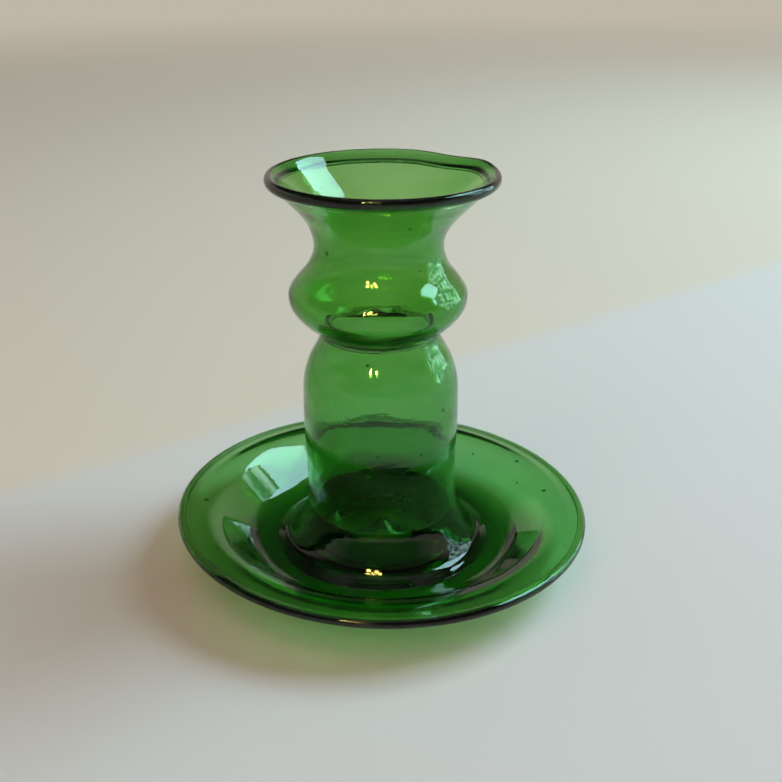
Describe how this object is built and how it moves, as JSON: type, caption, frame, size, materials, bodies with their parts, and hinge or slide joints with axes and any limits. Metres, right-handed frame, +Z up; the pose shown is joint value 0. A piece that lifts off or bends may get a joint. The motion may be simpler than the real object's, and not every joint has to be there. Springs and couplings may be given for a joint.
{
  "type": "glass candlestick",
  "caption": "Free-blown green glass candlestick: flared mouth over a bulging socket, hollow column and wide saucer drip dish.",
  "frame": {"origin": "centre of the resting ring under the dish, on the surface that the candlestick stands on", "axes": "+Z up along the candle's axis; -Y towards the side with the mouth's plain front, +X towards the dish's lower side"},
  "size_m": [0.12, 0.12, 0.114],
  "materials": {
    "edge_glass": "fire-polished dark green glass, thick rounded edge",
    "socket_glass": "clear emerald green blown glass with small seeds",
    "column_glass": "clear emerald green blown glass with faint ripples",
    "dish_glass": "clear emerald green blown glass, thicker towards the foot",
    "base_glass": "clear deep green glass, pushed up by the pontil"
  },
  "bodies": {
    "root": {"rolled_lip": "edge_glass", "candle_socket": "socket_glass", "column": "column_glass", "drip_dish": "dish_glass", "dish_rim": "edge_glass", "pontil_kick": "base_glass"}
  },
  "joints": []
}
